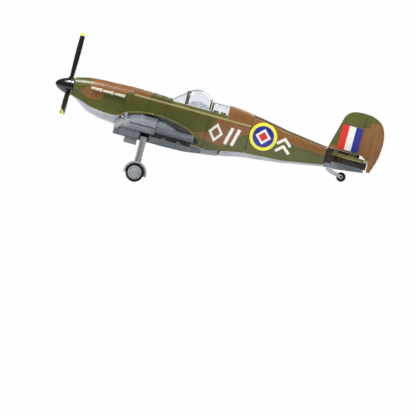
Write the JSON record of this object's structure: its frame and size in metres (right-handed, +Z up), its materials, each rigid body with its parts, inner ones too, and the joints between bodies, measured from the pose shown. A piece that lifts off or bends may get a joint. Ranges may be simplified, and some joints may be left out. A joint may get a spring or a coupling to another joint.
{
  "type": "propeller plane model",
  "caption": "Brick-built low-wing propeller fighter model on its wheels, with a spinning propeller, folding legs, rolling wheels, a sliding hood and hinged control surfaces.",
  "frame": {"origin": "bottom centre of the parked aircraft, on the surface it stands on", "axes": "-X to the nose, +Y to the starboard wing tip, +Z up; the thrust line rises 15 degrees towards the nose"},
  "size_m": [0.3025, 0.3658, 0.1375],
  "materials": {
    "olive_shell": "printed camouflage gloss",
    "brown_shell": "printed camouflage gloss",
    "grey_brick": "moulded gloss",
    "pale_grey_brick": "moulded gloss",
    "dark_brick": "moulded gloss",
    "black_gloss": "moulded gloss",
    "yellow_print": "printed",
    "silver_ivory": "moulded",
    "clear_glazing": "clear moulded",
    "tyre_black": "soft matt"
  },
  "bodies": {
    "airframe": {"cowl_shells": "olive_shell", "chin_fairing": "pale_grey_brick", "nose_ring": "pale_grey_brick", "nose_deck": "olive_shell", "front_side_panels": "olive_shell", "rear_side_panels": "brown_shell", "tail_cone_shells": "brown_shell", "spine_strip": "olive_shell", "spine": "brown_shell", "belly_rear": "pale_grey_brick", "bearing_brick": "dark_brick", "core_bricks": "dark_brick", "cockpit_tub": "dark_brick", "cockpit_fittings": "dark_brick", "cockpit_sill": "olive_shell", "windscreen": "clear_glazing", "canopy_frames": "olive_shell", "rear_glazing": "clear_glazing", "exhaust_stubs": "silver_ivory", "wing_skin_left": "olive_shell", "wing_skin_right": "olive_shell", "wing_front_plates": "grey_brick", "wing_rear_plates": "grey_brick", "wing_beams": "dark_brick", "gun_bays": "grey_brick", "gun_muzzle_fairings": "pale_grey_brick", "wing_centre_blocks": "grey_brick", "root_edges": "pale_grey_brick", "belly_centre": "grey_brick", "radiator": "grey_brick", "oil_cooler": "grey_brick", "leg_brackets": "dark_brick", "leg_pins": "dark_brick", "tail_core": "dark_brick", "fin": "olive_shell", "tailplanes": "olive_shell", "tail_under_plates": "grey_brick", "tail_strut": "pale_grey_brick"},
    "propeller": {"spinner": "black_gloss", "prop_shaft": "dark_brick", "propeller_blades": "black_gloss", "blade_tips": "yellow_print"},
    "hood": {"hood": "clear_glazing", "hood_frame": "olive_shell"},
    "rudder": {"rudder": "brown_shell"},
    "elevator_left": {"elevator_left": "olive_shell"},
    "elevator_right": {"elevator_right": "olive_shell"},
    "aileron_left": {"aileron_left": "olive_shell"},
    "aileron_right": {"aileron_right": "olive_shell"},
    "leg_left": {"gear_leg_left": "pale_grey_brick", "mudguard_left": "grey_brick"},
    "leg_right": {"gear_leg_right": "pale_grey_brick", "mudguard_right": "grey_brick"},
    "wheel_left": {"wheel_rim_left": "pale_grey_brick", "tyre_left": "tyre_black"},
    "wheel_right": {"wheel_rim_right": "pale_grey_brick", "tyre_right": "tyre_black"},
    "tail_wheel": {"tail_tyre": "tyre_black", "tail_hub": "pale_grey_brick"}
  },
  "joints": [
    {"name": "propeller_spin", "type": "hinge", "parent": "airframe", "child": "propeller", "pos_m": [-0.13854, 0, 0.08804], "axis": [0.9659, 0, -0.2588], "continuous": true},
    {"name": "hood_slide", "type": "slide", "parent": "airframe", "child": "hood", "axis": [0.9659, 0, -0.2588], "range_m": [0, 0.013]},
    {"name": "gear_left_fold", "type": "hinge", "parent": "airframe", "child": "leg_left", "pos_m": [-0.06974, -0.0279, 0.04114], "axis": [-0.9659, 0, 0.2588], "range_deg": [0, 74]},
    {"name": "gear_right_fold", "type": "hinge", "parent": "airframe", "child": "leg_right", "pos_m": [-0.06974, 0.0279, 0.04114], "axis": [0.9659, 0, -0.2588], "range_deg": [0, 74]},
    {"name": "wheel_left_spin", "type": "hinge", "parent": "leg_left", "child": "wheel_left", "pos_m": [-0.07851, -0.0384, 0.0084], "axis": [-0.0271, 0.9945, -0.101], "continuous": true},
    {"name": "wheel_right_spin", "type": "hinge", "parent": "leg_right", "child": "wheel_right", "pos_m": [-0.07851, 0.0384, 0.0084], "axis": [0.0271, 0.9945, 0.101], "continuous": true},
    {"name": "tail_wheel_spin", "type": "hinge", "parent": "airframe", "child": "tail_wheel", "pos_m": [0.11132, 0, 0.0044], "axis": [0, 1, 0], "continuous": true},
    {"name": "rudder_hinge", "type": "hinge", "parent": "airframe", "child": "rudder", "pos_m": [0.13033, 0, 0.0367], "axis": [0.2588, 0, 0.9659], "range_deg": [-20, 20]},
    {"name": "elevator_left_hinge", "type": "hinge", "parent": "airframe", "child": "elevator_left", "pos_m": [0.12641, -0.027, 0.02015], "axis": [0, 1, 0], "range_deg": [-22, 22]},
    {"name": "elevator_right_hinge", "type": "hinge", "parent": "airframe", "child": "elevator_right", "pos_m": [0.12641, 0.027, 0.02015], "axis": [0, 1, 0], "range_deg": [-22, 22]},
    {"name": "aileron_left_hinge", "type": "hinge", "parent": "airframe", "child": "aileron_left", "pos_m": [-0.03635, -0.10644, 0.04909], "axis": [-0.2131, -0.9657, 0.1481], "range_deg": [-18, 18]},
    {"name": "aileron_right_hinge", "type": "hinge", "parent": "airframe", "child": "aileron_right", "pos_m": [-0.03635, 0.10644, 0.04909], "axis": [-0.2131, 0.9657, 0.1481], "range_deg": [-18, 18]}
  ]
}
